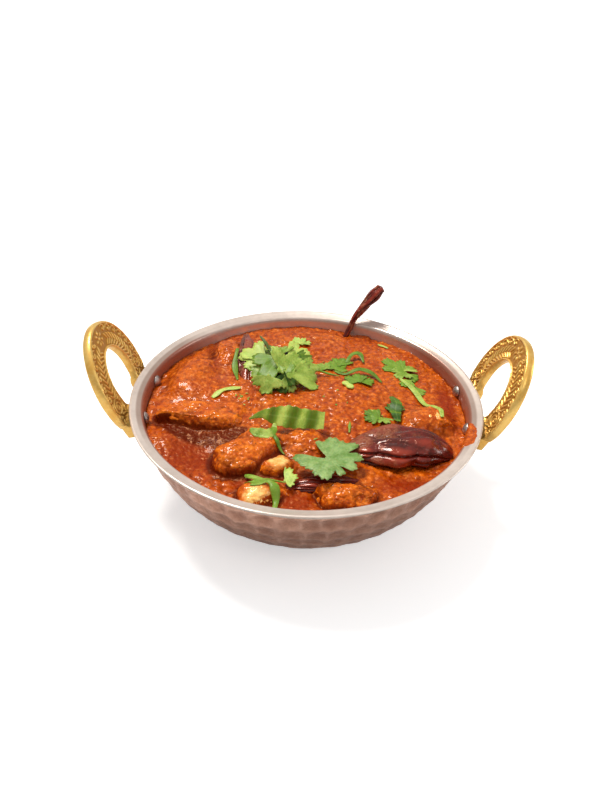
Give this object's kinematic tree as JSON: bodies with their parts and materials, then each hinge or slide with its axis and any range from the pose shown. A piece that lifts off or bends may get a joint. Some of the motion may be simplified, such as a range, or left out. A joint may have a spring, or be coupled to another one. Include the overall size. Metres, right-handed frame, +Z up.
{
  "type": "chicken curry",
  "caption": "Chicken curry in a small hammered karahi with brass loop handles, topped with dried chillies and coriander leaves.",
  "frame": {"origin": "centre of the flat base, on the surface it stands on", "axes": "+X through the right handle, +Y to the back, +Z up"},
  "size_m": [0.2004, 0.165, 0.0821],
  "materials": {
    "steel": "satin, turned",
    "copper": "hammered and tarnished copper plating",
    "brass": "cast relief, polished high spots",
    "rivet": "domed, dull",
    "gravy": "oily, grainy sauce",
    "chicken": "sauce-coated meat",
    "chilli": "glossy wrinkled skin",
    "herb": "fresh leaf"
  },
  "bodies": {
    "root": {"steel_bowl": "steel", "edge_band": "steel", "copper_jacket": "copper", "handle_left": "brass", "handle_right": "brass", "gravy": "gravy", "chicken_left": "chicken", "chicken_left_back": "chicken", "chicken_back_left": "chicken", "chicken_front_left": "chicken", "chicken_front_small": "chicken", "chicken_front_edge": "chicken", "chicken_front_right": "chicken", "chicken_right": "chicken", "chicken_middle": "chicken", "chilli_large": "chilli", "chilli_small": "chilli", "chilli_back_left": "chilli", "chilli_tall": "chilli", "rivet_front_left": "rivet", "rivet_back_left": "rivet", "rivet_front_right": "rivet", "rivet_back_right": "rivet"}
  },
  "joints": []
}
